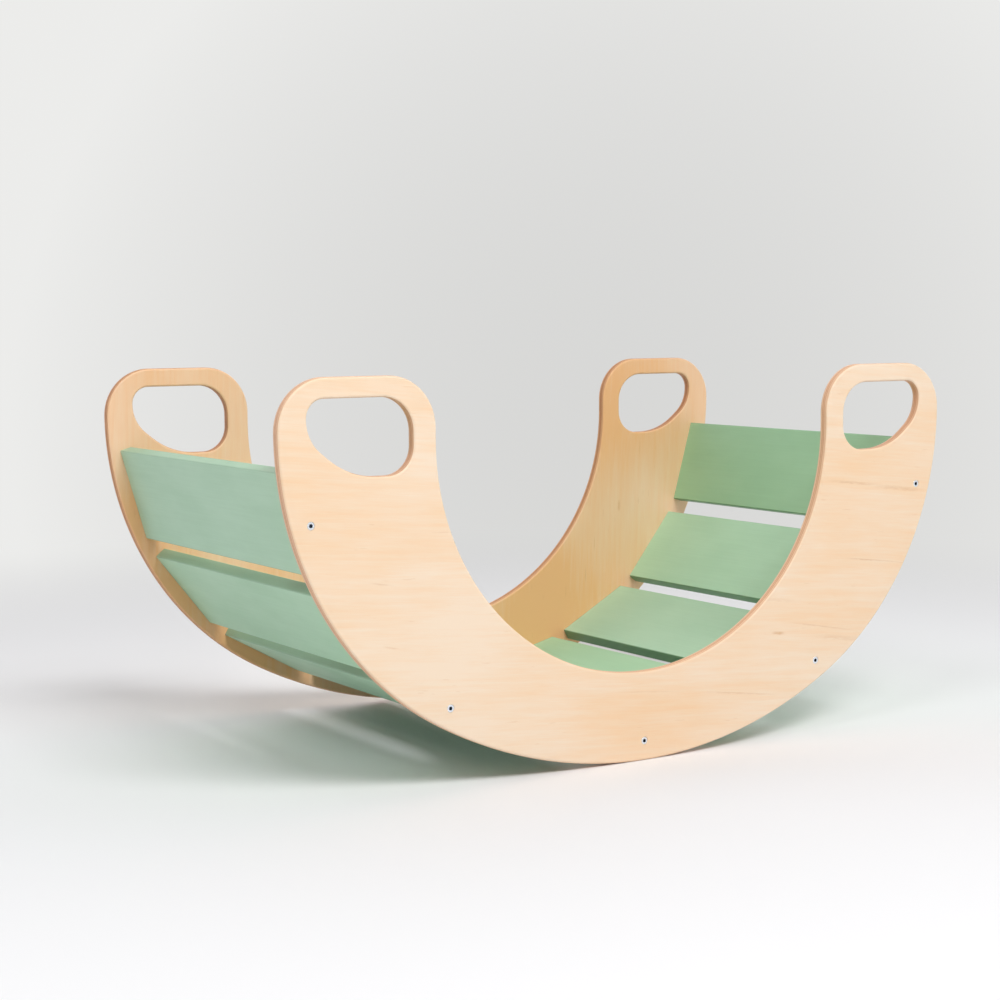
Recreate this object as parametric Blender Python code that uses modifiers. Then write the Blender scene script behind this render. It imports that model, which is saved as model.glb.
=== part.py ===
"""Wooden rocker: two U-shaped plywood side panels joined by a curved row of painted slats.

Metres, +Z up. The origin is on the floor under the middle of the rocker, +X runs along its length
and the front panel is at -Y. The rocker stands on the lowest stretch of its two curved edges.
"""
import math

import bmesh
import bpy
from mathutils import Matrix, Vector

# Overall size
LENGTH = 0.900
WIDTH = 0.464
HEIGHT = 0.439

# Side panels
PANEL_THICKNESS = 0.012
ROCKER_RADIUS = 0.545
ROCKER_HALF_ANGLE = 29.0
WEB_HEIGHT = 0.101
HANDLE_WIDTH = 0.182
TOP_CORNER_RADIUS = 0.055
EDGE_RADIUS = 0.0025

# Handle holes: a rounded rectangle with its lower outer corner cut off
HOLE_TOP_RIM = 0.0215
HOLE_INNER_RIM = 0.0275
HOLE_OUTER_RIM = 0.0325
HOLE_HEIGHT = 0.0805
HOLE_CUT_WIDTH = 0.0485
HOLE_CUT_HEIGHT = 0.039
HOLE_TOP_OUTER_RADIUS = 0.020
HOLE_TOP_INNER_RADIUS = 0.036
HOLE_LOW_INNER_RADIUS = 0.030
HOLE_FLOOR_RADIUS = 0.089
HOLE_SIDE_RADIUS = 0.043

# Slats, laid along a line that keeps one distance from the rocker's outer edge
SLAT_WIDTH = 0.111
SLAT_GAP = 0.021
SLAT_THICKNESS = 0.015
SLAT_INSET = 0.0245
SLAT_EDGE_RADIUS = 0.0015

# Countersunk screws with a hexagon socket, one in each end of every second slat
SCREW_LENGTH = 0.050
SCREW_HEAD_DIAMETER = 0.0085
SCREW_LIP = 0.0005
SCREW_NECK_DIAMETER = 0.0056
SCREW_NECK_LENGTH = 0.010
SCREW_THREAD_DIAMETER = 0.005
SCREW_POINT_LENGTH = 0.003
SCREW_POINT_DIAMETER = 0.0025
SCREW_SINK = 0.0003
SCREW_BELOW_MIDDLE = 0.0022
SOCKET_WIDTH = 0.004
SOCKET_DEPTH = 0.0024

# Blind dowels, two in each end of every slat
DOWEL_DIAMETER = 0.006
DOWEL_LENGTH = 0.028
DOWEL_CHAMFER = 0.0008
DOWEL_HOLE_SKIN = 0.0035
DOWEL_EDGE_DISTANCE = 0.019

# Fits and facets
CLEARANCE = 0.0003
END_CLEARANCE = 0.0005
OVERCUT = 0.002
FACET_ANGLE = 3.0
CORNER_FACET_ANGLE = 11.0
SCREW_FACETS = 14
DOWEL_FACETS = 10
EDGE_FACETS = 2
SHORTEST_FACET = 0.0002
SHARP_ANGLE = 35.0
FLAT_ANGLE = 2.0
LARGEST_CORNER_SHARE = 0.45
MERGE_DISTANCE = 0.00002

# Worked out from the sizes above
HALF_LENGTH = LENGTH / 2
INNER_FACE_Y = WIDTH / 2 - PANEL_THICKNESS
INNER_RADIUS = HALF_LENGTH - HANDLE_WIDTH
SLAT_PITCH = SLAT_WIDTH + SLAT_GAP
DOWEL_IN_PANEL = PANEL_THICKNESS - DOWEL_HOLE_SKIN - END_CLEARANCE
SIDES = {"front": -1, "back": 1}


def clear_scene():
    for old in list(bpy.data.objects):
        bpy.data.objects.remove(old, do_unlink=True)


def new_collection(name):
    collection = bpy.data.collections.new(name)
    bpy.context.scene.collection.children.link(collection)
    return collection


def new_material(name, colour, roughness, metallic=0.0):
    material = bpy.data.materials.new(name)
    material.use_nodes = True
    shader = material.node_tree.nodes["Principled BSDF"]
    shader.inputs["Base Color"].default_value = (*colour, 1.0)
    shader.inputs["Roughness"].default_value = roughness
    shader.inputs["Metallic"].default_value = metallic
    return material


def add_object(name, data, collection, parent=None):
    obj = bpy.data.objects.new(name, data)
    collection.objects.link(obj)
    obj.parent = parent
    return obj


def evaluated_mesh(obj):
    """The object's mesh with its modifiers applied and loose caps joined; the object is removed."""
    name = obj.name
    depsgraph = bpy.context.evaluated_depsgraph_get()
    mesh = bpy.data.meshes.new_from_object(obj.evaluated_get(depsgraph))
    bpy.data.objects.remove(obj, do_unlink=True)
    bm = bmesh.new()
    bm.from_mesh(mesh)
    bmesh.ops.remove_doubles(bm, verts=bm.verts, dist=MERGE_DISTANCE)
    bmesh.ops.recalc_face_normals(bm, faces=bm.faces)
    bm.to_mesh(mesh)
    bm.free()
    mesh.name = name
    return mesh


def shade_round(mesh):
    mesh.shade_smooth()
    mesh.set_sharp_from_angle(angle=math.radians(SHARP_ANGLE))


def shade_board(mesh):
    """Round edges shaded smooth and broad faces flat, so that a hole cut in them leaves no streaks."""
    shade_round(mesh)
    for face in mesh.polygons:
        face.use_smooth = max(abs(part) for part in face.normal) < math.cos(math.radians(FLAT_ANGLE))


def on_circle(centre, radius, angle):
    """Point on a circle at an angle in degrees from straight down, +X side positive."""
    turn = math.radians(angle)
    return centre + radius * Vector((math.sin(turn), -math.cos(turn)))


def seen_from(centre, point):
    """Angle of a point seen from a centre, in degrees from straight down."""
    across = point - centre
    return math.degrees(math.atan2(across.x, -across.y))


def arc(centre, radius, start, end, facet_angle):
    steps = max(2, round(abs(end - start) / facet_angle))
    return [on_circle(centre, radius, start + (end - start) * i / steps) for i in range(steps + 1)]


def without_repeats(points):
    kept = [points[0]]
    for point in points[1:]:
        if (point - kept[-1]).length > SHORTEST_FACET:
            kept.append(point)
    return kept


class RockerLine:
    """The rocker's outer edge, or a line at one distance inside it: a wide bottom arc, two side arcs."""

    def __init__(self, inset=0.0):
        half_angle = math.radians(ROCKER_HALF_ANGLE)
        side_radius = (HALF_LENGTH - ROCKER_RADIUS * math.sin(half_angle)) / (1 - math.sin(half_angle))
        self.bottom_centre = Vector((0.0, ROCKER_RADIUS))
        self.side_centre = on_circle(self.bottom_centre, ROCKER_RADIUS - side_radius, ROCKER_HALF_ANGLE)
        self.bottom_radius = ROCKER_RADIUS - inset
        self.side_radius = side_radius - inset
        self.bottom_run = self.bottom_radius * half_angle

    def place(self, run):
        """Point, and slope angle in radians, at a signed distance along the line from its lowest point."""
        distance = abs(run)
        if distance <= self.bottom_run:
            angle = math.degrees(distance / self.bottom_radius)
            point = on_circle(self.bottom_centre, self.bottom_radius, angle)
        else:
            angle = ROCKER_HALF_ANGLE + math.degrees((distance - self.bottom_run) / self.side_radius)
            point = on_circle(self.side_centre, self.side_radius, angle)
        side = math.copysign(1.0, run)
        return Vector((side * point.x, point.y)), side * math.radians(angle)

    def run_to_height(self, height):
        """Distance along the line from its lowest point up to a height on its side arc."""
        drop = (self.side_centre.y - height) / self.side_radius
        angle = math.acos(max(-1.0, min(1.0, drop)))
        return self.bottom_run + self.side_radius * (angle - math.radians(ROCKER_HALF_ANGLE))


def corner_on_arc(arc_centre, reach, height, upright_x):
    """Centre of a top corner at a height, and the angle at which the arc below gives way to it.

    Above the arc's centre the corner stands on an upright edge, and below it on the arc itself.
    """
    if height >= arc_centre.y:
        return Vector((upright_x, height)), 90.0
    across = math.sqrt(reach**2 - (height - arc_centre.y) ** 2)
    centre = Vector((arc_centre.x + across, height))
    return centre, seen_from(arc_centre, centre)


def panel_outline():
    """The U-shaped outline, anticlockwise, starting just right of its lowest point."""
    edge = RockerLine()
    corner = min(TOP_CORNER_RADIUS, LARGEST_CORNER_SHARE * HANDLE_WIDTH)
    corner_height = HEIGHT - corner
    seat_centre = Vector((0.0, WEB_HEIGHT + INNER_RADIUS))
    outer_corner, outer_turn = corner_on_arc(
        edge.side_centre, edge.side_radius - corner, corner_height, HALF_LENGTH - corner
    )
    inner_corner, inner_turn = corner_on_arc(
        seat_centre, INNER_RADIUS + corner, corner_height, INNER_RADIUS + corner
    )

    # An odd number of facets, touching the true arc from outside, puts one flat on the floor
    facets = 2 * round(ROCKER_HALF_ANGLE / FACET_ANGLE) + 1
    step = 2 * ROCKER_HALF_ANGLE / facets
    facet_radius = ROCKER_RADIUS / math.cos(math.radians(step / 2))
    half = [on_circle(edge.bottom_centre, facet_radius, step * (i + 0.5)) for i in range(facets // 2)]
    half += arc(edge.side_centre, edge.side_radius, ROCKER_HALF_ANGLE, outer_turn, FACET_ANGLE)
    half += arc(outer_corner, corner, outer_turn, 180.0, CORNER_FACET_ANGLE)
    half += arc(inner_corner, corner, 180.0, 180.0 + inner_turn, CORNER_FACET_ANGLE)
    half += arc(seat_centre, INNER_RADIUS, inner_turn, 0.0, FACET_ANGLE)[:-1]
    half = without_repeats(half)
    lowest_inside = Vector((0.0, WEB_HEIGHT))
    return half + [lowest_inside] + [Vector((-p.x, p.y)) for p in reversed(half)]


def rounded_polygon(corners):
    """A closed outline through corners given as (x, z, radius); its sides limit each radius."""
    points = []
    for i, (x, z, radius) in enumerate(corners):
        corner = Vector((x, z))
        to_last = Vector(corners[i - 1][:2]) - corner
        to_next = Vector(corners[(i + 1) % len(corners)][:2]) - corner
        half_angle = to_last.angle(to_next) / 2
        tangent = min(radius / math.tan(half_angle), to_last.length / 2, to_next.length / 2)
        radius = tangent * math.tan(half_angle)
        middle = (to_last.normalized() + to_next.normalized()).normalized()
        centre = corner + middle * (radius / math.sin(half_angle))
        start = seen_from(centre, corner + to_last.normalized() * tangent)
        end = seen_from(centre, corner + to_next.normalized() * tangent)
        turn = (end - start + 180.0) % 360.0 - 180.0
        points += arc(centre, radius, start, start + turn, CORNER_FACET_ANGLE)
    return without_repeats(points)


def hole_limits():
    """Inner side, outer side, floor and top of the right-hand handle hole."""
    top = HEIGHT - HOLE_TOP_RIM
    return INNER_RADIUS + HOLE_INNER_RIM, HALF_LENGTH - HOLE_OUTER_RIM, top - HOLE_HEIGHT, top


def hole_outline(side):
    """A rounded rectangle with its lower outer corner cut off, so that it follows the hand."""
    inner, outer, floor, top = hole_limits()
    corners = [
        (outer, top, HOLE_TOP_OUTER_RADIUS),
        (inner, top, HOLE_TOP_INNER_RADIUS),
        (inner, floor, HOLE_LOW_INNER_RADIUS),
        (outer - HOLE_CUT_WIDTH, floor, HOLE_FLOOR_RADIUS),
        (outer, floor + HOLE_CUT_HEIGHT, HOLE_SIDE_RADIUS),
    ]
    return rounded_polygon([(side * x, z, radius) for x, z, radius in corners])


def panel_mesh(material):
    """The plywood sheet: a flat outline with two handle holes, every edge rounded over."""
    curve = bpy.data.curves.new("side_panel", "CURVE")
    curve.dimensions = "2D"
    curve.fill_mode = "BOTH"
    curve.extrude = PANEL_THICKNESS / 2 - EDGE_RADIUS
    curve.bevel_depth = EDGE_RADIUS
    curve.bevel_resolution = EDGE_FACETS - 1
    curve.offset = -EDGE_RADIUS
    for outline in (panel_outline(), hole_outline(1), hole_outline(-1)):
        spline = curve.splines.new("POLY")
        spline.points.add(len(outline) - 1)
        for point, place in zip(spline.points, outline):
            point.co = (place.x, place.y, 0.0, 1.0)
        spline.use_cyclic_u = True
    mesh = evaluated_mesh(add_object("side_panel", curve, bpy.context.scene.collection))
    mesh.transform(Matrix.Rotation(math.radians(90), 4, "X"))
    mesh.materials.clear()
    mesh.materials.append(material)
    shade_board(mesh)
    return mesh


def slat_mesh(material):
    """A plain board along Y, its four long edges eased."""
    bm = bmesh.new()
    length = 2 * (INNER_FACE_Y - CLEARANCE)
    bmesh.ops.create_cube(bm, size=1.0, matrix=Matrix.Diagonal((SLAT_WIDTH, length, SLAT_THICKNESS, 1.0)))
    long_edges = [e for e in bm.edges if abs(e.verts[0].co.y - e.verts[1].co.y) > length / 2]
    bmesh.ops.bevel(
        bm,
        geom=long_edges,
        offset=SLAT_EDGE_RADIUS,
        segments=EDGE_FACETS,
        profile=0.5,
        affect="EDGES",
    )
    mesh = bpy.data.meshes.new("slat")
    bm.to_mesh(mesh)
    bm.free()
    mesh.materials.append(material)
    shade_board(mesh)
    return mesh


def turned_mesh(name, profile, facets):
    """A solid turned about Z from a profile of (radius, height), top to bottom."""
    mesh = bpy.data.meshes.new(name)
    bm = bmesh.new()
    verts = [bm.verts.new((radius, 0.0, height)) for radius, height in profile]
    for upper, lower in zip(verts, verts[1:]):
        bm.edges.new((upper, lower))
    bm.to_mesh(mesh)
    bm.free()
    obj = add_object(name, mesh, bpy.context.scene.collection)
    turn = obj.modifiers.new("Turn", "SCREW")
    turn.steps = facets
    turn.render_steps = facets
    turn.use_merge_vertices = True
    turn.merge_threshold = MERGE_DISTANCE
    return evaluated_mesh(obj)


def screw_profile(extra=0.0, above=0.0):
    """Half section of the screw, its head's top at height 0; with extra it is a clearance hole."""
    head = SCREW_HEAD_DIAMETER / 2 + extra
    neck = SCREW_NECK_DIAMETER / 2 + extra
    thread = SCREW_THREAD_DIAMETER / 2 + extra
    point = SCREW_POINT_DIAMETER / 2 + extra
    cone_foot = -SCREW_LIP - (head - neck)
    neck_end = -SCREW_NECK_LENGTH - extra
    end = -SCREW_LENGTH - extra
    return [
        (0.0, above),
        (head, above),
        (head, -SCREW_LIP),
        (neck, cone_foot),
        (neck, neck_end),
        (thread, neck_end),
        (thread, end + SCREW_POINT_LENGTH),
        (point, end),
        (0.0, end),
    ]


def screw_mesh(material, cutters):
    """The screw, with its hexagon socket cut into the head."""
    blank = add_object("screw", turned_mesh("screw_blank", screw_profile(), SCREW_FACETS), cutters)
    corner_radius = SOCKET_WIDTH / math.sqrt(3)
    bpy.ops.mesh.primitive_cylinder_add(vertices=6, radius=corner_radius, depth=2 * SOCKET_DEPTH)
    socket = bpy.context.active_object
    add_cut(blank, socket)
    mesh = evaluated_mesh(blank)
    bpy.data.objects.remove(socket, do_unlink=True)
    mesh.materials.append(material)
    shade_round(mesh)
    return mesh


def dowel_mesh(material):
    radius = DOWEL_DIAMETER / 2
    half = DOWEL_LENGTH / 2
    profile = [
        (0.0, half),
        (radius - DOWEL_CHAMFER, half),
        (radius, half - DOWEL_CHAMFER),
        (radius, DOWEL_CHAMFER - half),
        (radius - DOWEL_CHAMFER, -half),
        (0.0, -half),
    ]
    mesh = turned_mesh("dowel", profile, DOWEL_FACETS)
    mesh.materials.append(material)
    shade_round(mesh)
    return mesh


def dowel_hole_mesh():
    radius = DOWEL_DIAMETER / 2 + CLEARANCE
    half = DOWEL_LENGTH / 2 + END_CLEARANCE
    return turned_mesh("dowel_hole", [(0.0, half), (radius, half), (radius, -half), (0.0, -half)], DOWEL_FACETS)


def add_cut(obj, cutter):
    boolean = obj.modifiers.new("Cut", "BOOLEAN")
    boolean.operation = "DIFFERENCE"
    boolean.object = cutter
    boolean.solver = "EXACT"


def slat_places():
    """Number, middle point and slope angle of each slat, left to right, up to the handle holes."""
    line = RockerLine(SLAT_INSET)
    highest = hole_limits()[2] + HOLE_CUT_HEIGHT
    per_side = int((line.run_to_height(highest) - SLAT_WIDTH / 2) / SLAT_PITCH)
    places = []
    for i in range(-per_side, per_side + 1):
        point, angle = line.place(i * SLAT_PITCH)
        places.append((i + per_side + 1, point, angle))
    return places


def slat_matrix(point, angle):
    return Matrix.Translation((point.x, 0.0, point.y)) @ Matrix.Rotation(-angle, 4, "Y")


def screw_places():
    """Name and matrix of each screw: one through each panel, just outside the middle of every second slat."""
    places = []
    for number, point, angle in slat_places():
        if number % 2 == 0:
            continue
        for name, side in SIDES.items():
            local = Vector((0.0, side * (WIDTH / 2 - SCREW_SINK), -SCREW_BELOW_MIDDLE))
            head = Matrix.Translation(slat_matrix(point, angle) @ local)
            places.append((f"{name}_screw_{number}", head @ Matrix.Rotation(math.radians(-90 * side), 4, "X")))
    return places


def dowel_places():
    """Name and matrix of each dowel: two across each joint of slat and panel."""
    places = []
    from_middle = SLAT_WIDTH / 2 - DOWEL_EDGE_DISTANCE
    middle_y = INNER_FACE_Y + DOWEL_IN_PANEL - DOWEL_LENGTH / 2
    for number, point, angle in slat_places():
        for name, side in SIDES.items():
            for letter, across in (("a", -from_middle), ("b", from_middle)):
                local = Matrix.Translation((across, side * middle_y, 0.0))
                upright = Matrix.Rotation(math.radians(90), 4, "X")
                places.append((f"{name}_dowel_{number}{letter}", slat_matrix(point, angle) @ local @ upright))
    return places


def holes_cutter(cutters):
    """One cutter with every screw and dowel hole, shared by the panels and the slats."""
    screw_hole = turned_mesh("screw_hole", screw_profile(CLEARANCE, OVERCUT), SCREW_FACETS)
    dowel_hole = dowel_hole_mesh()
    solids = [(screw_hole, matrix) for name, matrix in screw_places()]
    solids += [(dowel_hole, matrix) for name, matrix in dowel_places()]
    bm = bmesh.new()
    for solid, matrix in solids:
        placed = solid.copy()
        placed.transform(matrix)
        bm.from_mesh(placed)
        bpy.data.meshes.remove(placed)
    mesh = bpy.data.meshes.new("fastener_holes")
    bm.to_mesh(mesh)
    bm.free()
    cutter = add_object("fastener_holes", mesh, cutters)
    cutter.hide_render = True
    cutter.display_type = "WIRE"
    return cutter


def build():
    clear_scene()
    parts = new_collection("kids_seesaw")
    cutters = new_collection("cutters")
    base = add_object("rocker", None, parts)
    plywood = new_material("birch_plywood", (0.86, 0.64, 0.42), 0.45)
    paint = new_material("green_paint", (0.36, 0.50, 0.36), 0.5)
    zinc = new_material("zinc_plated_steel", (0.62, 0.65, 0.70), 0.3, metallic=1.0)
    beech = new_material("beech", (0.62, 0.42, 0.25), 0.6)
    holes = holes_cutter(cutters)

    panel = panel_mesh(plywood)
    for name, side in SIDES.items():
        obj = add_object(f"{name}_side_panel", panel, parts, base)
        obj.location.y = side * (INNER_FACE_Y + PANEL_THICKNESS / 2)
        add_cut(obj, holes)

    board = slat_mesh(paint)
    for number, point, angle in slat_places():
        obj = add_object(f"slat_{number}", board, parts, base)
        obj.matrix_world = slat_matrix(point, angle)
        add_cut(obj, holes)

    screw = screw_mesh(zinc, cutters)
    for name, matrix in screw_places():
        add_object(name, screw, parts, base).matrix_world = matrix

    dowel = dowel_mesh(beech)
    for name, matrix in dowel_places():
        add_object(name, dowel, parts, base).matrix_world = matrix


build()
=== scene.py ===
"""Looks of a child's wooden rocker: two birch plywood panels, nine painted boards, their screws.

Metres, in the frame's own place: +X along the rocker, the front panel at -Y, +Z up.
"""
import math

import bmesh
import bpy
from mathutils import Matrix, Vector


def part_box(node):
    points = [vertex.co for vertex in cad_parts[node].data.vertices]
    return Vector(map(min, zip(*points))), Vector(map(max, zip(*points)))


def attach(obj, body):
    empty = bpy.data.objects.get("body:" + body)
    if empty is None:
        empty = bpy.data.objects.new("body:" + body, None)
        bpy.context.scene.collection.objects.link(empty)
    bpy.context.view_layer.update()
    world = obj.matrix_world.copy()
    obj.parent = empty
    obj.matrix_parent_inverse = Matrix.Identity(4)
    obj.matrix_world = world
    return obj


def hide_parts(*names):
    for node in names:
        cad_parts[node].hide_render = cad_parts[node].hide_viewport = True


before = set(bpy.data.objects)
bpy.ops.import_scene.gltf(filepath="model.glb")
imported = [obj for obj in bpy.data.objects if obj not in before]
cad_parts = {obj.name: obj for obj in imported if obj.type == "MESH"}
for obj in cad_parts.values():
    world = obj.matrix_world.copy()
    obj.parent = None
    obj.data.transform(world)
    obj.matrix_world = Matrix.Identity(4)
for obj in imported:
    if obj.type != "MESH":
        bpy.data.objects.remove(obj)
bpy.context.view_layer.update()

# Camera: the photograph is taken from the front left, a little above the handles, with a short
# telephoto lens. This is the place and aim from which both panels line up with the photograph.
LENS_MM = 69.92
SENSOR_MM = 36.0
CAMERA_PLACE = (-1.2933, -1.9557, 0.4965)
AIM_TO_THE_RIGHT = math.radians(32.602)
AIM_DOWN = math.radians(5.354)
CAMERA_ROLL = math.radians(-0.371)

camera_data = bpy.data.cameras.new("camera")
camera_data.sensor_width = SENSOR_MM
camera_data.lens = LENS_MM
camera = bpy.data.objects.new("camera", camera_data)
aim = Matrix.Rotation(-AIM_TO_THE_RIGHT, 4, "Z") @ Matrix.Rotation(math.pi / 2 - AIM_DOWN, 4, "X")
camera.matrix_world = Matrix.Translation(CAMERA_PLACE) @ aim @ Matrix.Rotation(CAMERA_ROLL, 4, "Z")
bpy.context.scene.collection.objects.link(camera)
bpy.context.scene.camera = camera

# Side panels: two sheets of 12 mm birch plywood, routed to a U with two hand holes, every edge
# rounded over and the whole clear lacquered. The grain of the front one runs nearly level, a few
# degrees down to the right, and that of the back one upright. The cut edges show the plies.
front_low, front_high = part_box("front_side_panel")
back_low, back_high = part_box("back_side_panel")
HALF_LENGTH = front_high.x
HEIGHT = front_high.z
PANEL_THICKNESS = front_high.y - front_low.y
ROCKER_RADIUS = 0.545
ROCKER_HALF_ANGLE = 29.0
WEB_HEIGHT = 0.101
HANDLE_WIDTH = 0.182
TOP_CORNER_RADIUS = 0.055
EDGE_RADIUS = 0.0025
EDGE_STEPS = 5
ARC_STEP = 1.0
SMALL_ARC_STEP = 4.0
WELD_DISTANCE = 0.00001
REPEAT_DISTANCE = 0.0001

INNER_RADIUS = HALF_LENGTH - HANDLE_WIDTH
LEAN = math.sin(math.radians(ROCKER_HALF_ANGLE))
SIDE_RADIUS = (HALF_LENGTH - ROCKER_RADIUS * LEAN) / (1 - LEAN)

# Hand hole: its sides seen from the panel's edges, and (x, z, corner radius) of its five corners
HOLE_TOP = HEIGHT - 0.0215
HOLE_FLOOR = HOLE_TOP - 0.0805
HOLE_INNER = INNER_RADIUS + 0.0275
HOLE_OUTER = HALF_LENGTH - 0.0325
HOLE_CORNERS = [
    (HOLE_OUTER, HOLE_TOP, 0.020),
    (HOLE_INNER, HOLE_TOP, 0.036),
    (HOLE_INNER, HOLE_FLOOR, 0.030),
    (HOLE_OUTER - 0.0485, HOLE_FLOOR, 0.089),
    (HOLE_OUTER, HOLE_FLOOR + 0.039, 0.043),
]


def on_circle(centre, radius, angle):
    """Point on a circle at an angle in degrees from straight down, +X side positive."""
    turn = math.radians(angle)
    return centre + radius * Vector((math.sin(turn), -math.cos(turn)))


def arc(centre, radius, start, end, step):
    count = max(2, round(abs(end - start) / step))
    return [on_circle(centre, radius, start + (end - start) * i / count) for i in range(count + 1)]


def without_repeats(points):
    kept = [points[0]]
    for point in points[1:]:
        if (point - kept[-1]).length > REPEAT_DISTANCE:
            kept.append(point)
    return kept


def rocker_centres():
    """Centres of the wide arc that meets the floor and of the right-hand arc that follows it."""
    bottom = Vector((0.0, ROCKER_RADIUS))
    return bottom, on_circle(bottom, ROCKER_RADIUS - SIDE_RADIUS, ROCKER_HALF_ANGLE)


def panel_outline():
    bottom, side = rocker_centres()
    corner_height = HEIGHT - TOP_CORNER_RADIUS
    outer_corner = Vector((HALF_LENGTH - TOP_CORNER_RADIUS, corner_height))
    inner_corner = Vector((INNER_RADIUS + TOP_CORNER_RADIUS, corner_height))
    seat = Vector((0.0, WEB_HEIGHT + INNER_RADIUS))
    half = arc(bottom, ROCKER_RADIUS, 0.0, ROCKER_HALF_ANGLE, ARC_STEP)
    half += arc(side, SIDE_RADIUS, ROCKER_HALF_ANGLE, 90.0, ARC_STEP)
    half += arc(outer_corner, TOP_CORNER_RADIUS, 90.0, 180.0, SMALL_ARC_STEP)
    half += arc(inner_corner, TOP_CORNER_RADIUS, 180.0, 270.0, SMALL_ARC_STEP)
    half += arc(seat, INNER_RADIUS, 90.0, 0.0, ARC_STEP)
    half = without_repeats(half)
    return half + [Vector((-p.x, p.y)) for p in reversed(half[1:-1])]


def hole_outline(side):
    """The five-cornered hand hole with each corner rounded by its own radius."""
    points = []
    for i, (x, z, radius) in enumerate(HOLE_CORNERS):
        corner = Vector((x, z))
        back = (Vector(HOLE_CORNERS[i - 1][:2]) - corner).normalized()
        on = (Vector(HOLE_CORNERS[(i + 1) % len(HOLE_CORNERS)][:2]) - corner).normalized()
        gap_back = (Vector(HOLE_CORNERS[i - 1][:2]) - corner).length / 2
        gap_on = (Vector(HOLE_CORNERS[(i + 1) % len(HOLE_CORNERS)][:2]) - corner).length / 2
        half_angle = back.angle(on) / 2
        tangent = min(radius / math.tan(half_angle), gap_back, gap_on)
        radius = tangent * math.tan(half_angle)
        centre = corner + (back + on).normalized() * (radius / math.sin(half_angle))
        start = (corner + back * tangent) - centre
        end = (corner + on * tangent) - centre
        first = math.degrees(math.atan2(start.x, -start.y))
        last = math.degrees(math.atan2(end.x, -end.y))
        turn = (last - first + 180.0) % 360.0 - 180.0
        points += arc(centre, radius, first, first + turn, SMALL_ARC_STEP)
    return [Vector((side * p.x, p.y)) for p in without_repeats(points)]


def plain_mesh(obj):
    """The object's finished mesh with its doubles joined; the object itself is removed."""
    depsgraph = bpy.context.evaluated_depsgraph_get()
    mesh = bpy.data.meshes.new_from_object(obj.evaluated_get(depsgraph))
    bpy.data.objects.remove(obj, do_unlink=True)
    bm = bmesh.new()
    bm.from_mesh(mesh)
    bmesh.ops.remove_doubles(bm, verts=bm.verts, dist=WELD_DISTANCE)
    bmesh.ops.recalc_face_normals(bm, faces=bm.faces)
    bm.to_mesh(mesh)
    bm.free()
    return mesh


def add_piece(name, data):
    obj = bpy.data.objects.new(name, data)
    bpy.context.scene.collection.objects.link(obj)
    return obj


def stood_at(place, angle):
    """Matrix that turns a mesh by an angle in degrees about X, and then moves it to the place."""
    return Matrix.Translation(place) @ Matrix.Rotation(math.radians(angle), 4, "X")


def panel_mesh(middle_y):
    curve = bpy.data.curves.new("panel_outline", "CURVE")
    curve.dimensions = "2D"
    curve.fill_mode = "BOTH"
    curve.extrude = PANEL_THICKNESS / 2 - EDGE_RADIUS
    curve.bevel_depth = EDGE_RADIUS
    curve.bevel_resolution = EDGE_STEPS - 1
    curve.offset = -EDGE_RADIUS
    for outline in (panel_outline(), hole_outline(1), hole_outline(-1)):
        spline = curve.splines.new("POLY")
        spline.points.add(len(outline) - 1)
        for point, place in zip(spline.points, outline):
            point.co = (place.x, place.y, 0.0, 1.0)
        spline.use_cyclic_u = True
    mesh = plain_mesh(add_piece("panel_blank", curve))
    mesh.transform(stood_at((0.0, middle_y, 0.0), 90))
    return mesh


# Holes, where the frame has its screws and dowels: countersunk for the one, blind for the other
SCREW_HEAD_RADIUS = 0.00425
SCREW_LIP = 0.0005
SCREW_NECK_RADIUS = 0.0028
SCREW_NECK_LENGTH = 0.010
SCREW_THREAD_RADIUS = 0.0025
HOLE_PLAY = 0.00015
OVERCUT = 0.001
ROUND_STEPS = 40
SCREW_NODES = sorted(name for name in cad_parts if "_screw_" in name)
DOWEL_NODES = sorted(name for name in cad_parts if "_dowel_" in name)
SCREW_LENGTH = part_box(SCREW_NODES[0])[1].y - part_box(SCREW_NODES[0])[0].y
DOWEL_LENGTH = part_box(DOWEL_NODES[0])[1].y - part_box(DOWEL_NODES[0])[0].y
DOWEL_RADIUS = 0.003


def turned_mesh(name, profile, steps):
    """A closed solid turned about Z from (radius, height) points that start and end on the axis."""
    bm = bmesh.new()
    verts = [bm.verts.new((radius, 0.0, height)) for radius, height in profile]
    edges = [bm.edges.new(pair) for pair in zip(verts, verts[1:])]
    bmesh.ops.spin(
        bm,
        geom=verts + edges,
        cent=(0, 0, 0),
        axis=(0, 0, 1),
        angle=math.tau,
        steps=steps,
        use_merge=True,
    )
    bmesh.ops.remove_doubles(bm, verts=bm.verts, dist=WELD_DISTANCE)
    bmesh.ops.recalc_face_normals(bm, faces=bm.faces)
    mesh = bpy.data.meshes.new(name)
    bm.to_mesh(mesh)
    bm.free()
    return mesh


def screw_head_place(node):
    """Middle of the screw's top, and the side of the rocker that it faces: -1 front, 1 back."""
    low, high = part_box(node)
    side = 1 if low.y > 0 else -1
    return Vector(((low.x + high.x) / 2, high.y if side > 0 else low.y, (low.z + high.z) / 2)), side


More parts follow.
